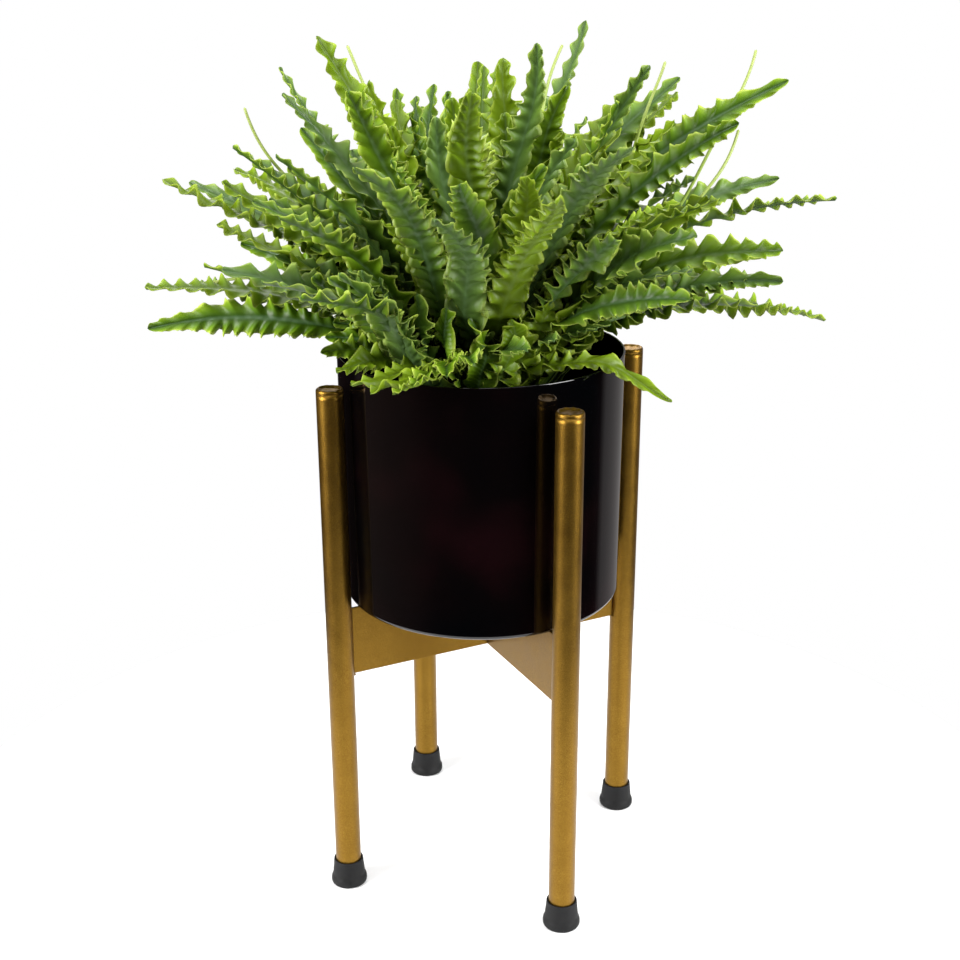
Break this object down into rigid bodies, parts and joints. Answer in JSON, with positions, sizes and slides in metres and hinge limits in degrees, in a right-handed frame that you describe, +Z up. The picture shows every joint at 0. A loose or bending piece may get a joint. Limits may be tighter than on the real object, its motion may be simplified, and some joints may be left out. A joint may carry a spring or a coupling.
{
  "type": "planter pot on stand with artificial fern",
  "caption": "Glossy dark pot that stands loose on the crossed sheet braces of a gold painted tube stand with rubber feet, filled with a lift-out artificial fern",
  "frame": {"origin": "On the floor, at the middle of the whole object's footprint, which is the stand's axis within a few millimetres", "axes": "+Z up, the long way; the four legs stand on the diagonals, with front towards -Y and right towards +X"},
  "size_m": [0.4636, 0.3857, 0.6217],
  "materials": {
    "gold_paint": "satin metallic gold paint with a fine grain",
    "dark_enamel": "mirror-gloss black enamel with a wine-brown cast",
    "rubber": "matte moulded black rubber",
    "foam": "matte open-celled foam",
    "stem_plastic": "matte moulded plastic",
    "fern_plastic": "satin moulded soft plastic, yellow green at the edges and blue green along the midrib"
  },
  "bodies": {
    "stand": {"leg_tube_front_right": "gold_paint", "leg_cap_front_right": "gold_paint", "ferrule_front_right": "rubber", "weld_tack_front_right": "gold_paint", "leg_tube_back_right": "gold_paint", "leg_cap_back_right": "gold_paint", "ferrule_back_right": "rubber", "weld_tack_back_right": "gold_paint", "leg_tube_back_left": "gold_paint", "leg_cap_back_left": "gold_paint", "ferrule_back_left": "rubber", "weld_tack_back_left": "gold_paint", "leg_tube_front_left": "gold_paint", "leg_cap_front_left": "gold_paint", "ferrule_front_left": "rubber", "weld_tack_front_left": "gold_paint", "brace_slot_up": "gold_paint", "brace_slot_down": "gold_paint"},
    "pot": {"pot_shell": "dark_enamel"},
    "fern": {"foam_block": "foam", "bush_stem": "stem_plastic", "fern_spray_01": "fern_plastic", "fern_spray_02": "fern_plastic", "fern_spray_03": "fern_plastic", "fern_spray_04": "fern_plastic", "fern_spray_05": "fern_plastic", "fern_spray_06": "fern_plastic", "fern_spray_07": "fern_plastic", "fern_spray_08": "fern_plastic", "fern_spray_09": "fern_plastic", "fern_spray_10": "fern_plastic", "fern_spray_11": "fern_plastic", "fern_spray_12": "fern_plastic", "fern_spray_13": "fern_plastic", "fern_spray_14": "fern_plastic", "fern_spray_15": "fern_plastic", "fern_spray_16": "fern_plastic", "fern_spray_17": "fern_plastic", "fern_spray_18": "fern_plastic", "fern_spray_19": "fern_plastic", "fern_spray_20": "fern_plastic", "fern_spray_21": "fern_plastic", "fern_spray_22": "fern_plastic", "fern_spray_23": "fern_plastic", "fern_spray_24": "fern_plastic", "fern_spray_25": "fern_plastic", "fern_spray_26": "fern_plastic", "fern_spray_27": "fern_plastic", "fern_spray_28": "fern_plastic", "fern_spray_29": "fern_plastic", "fern_spray_30": "fern_plastic", "fern_spray_31": "fern_plastic", "fern_spray_32": "fern_plastic", "rim_frond_1": "fern_plastic", "rim_frond_2": "fern_plastic", "rim_frond_3": "fern_plastic", "rim_frond_4": "fern_plastic"}
  },
  "joints": [
    {"name": "pot_lift", "type": "slide", "parent": "stand", "child": "pot", "axis": [0, 0, 1], "range_m": [0, 0.19]},
    {"name": "fern_lift", "type": "slide", "parent": "pot", "child": "fern", "axis": [0, 0, 1], "range_m": [0, 0.2]}
  ]
}
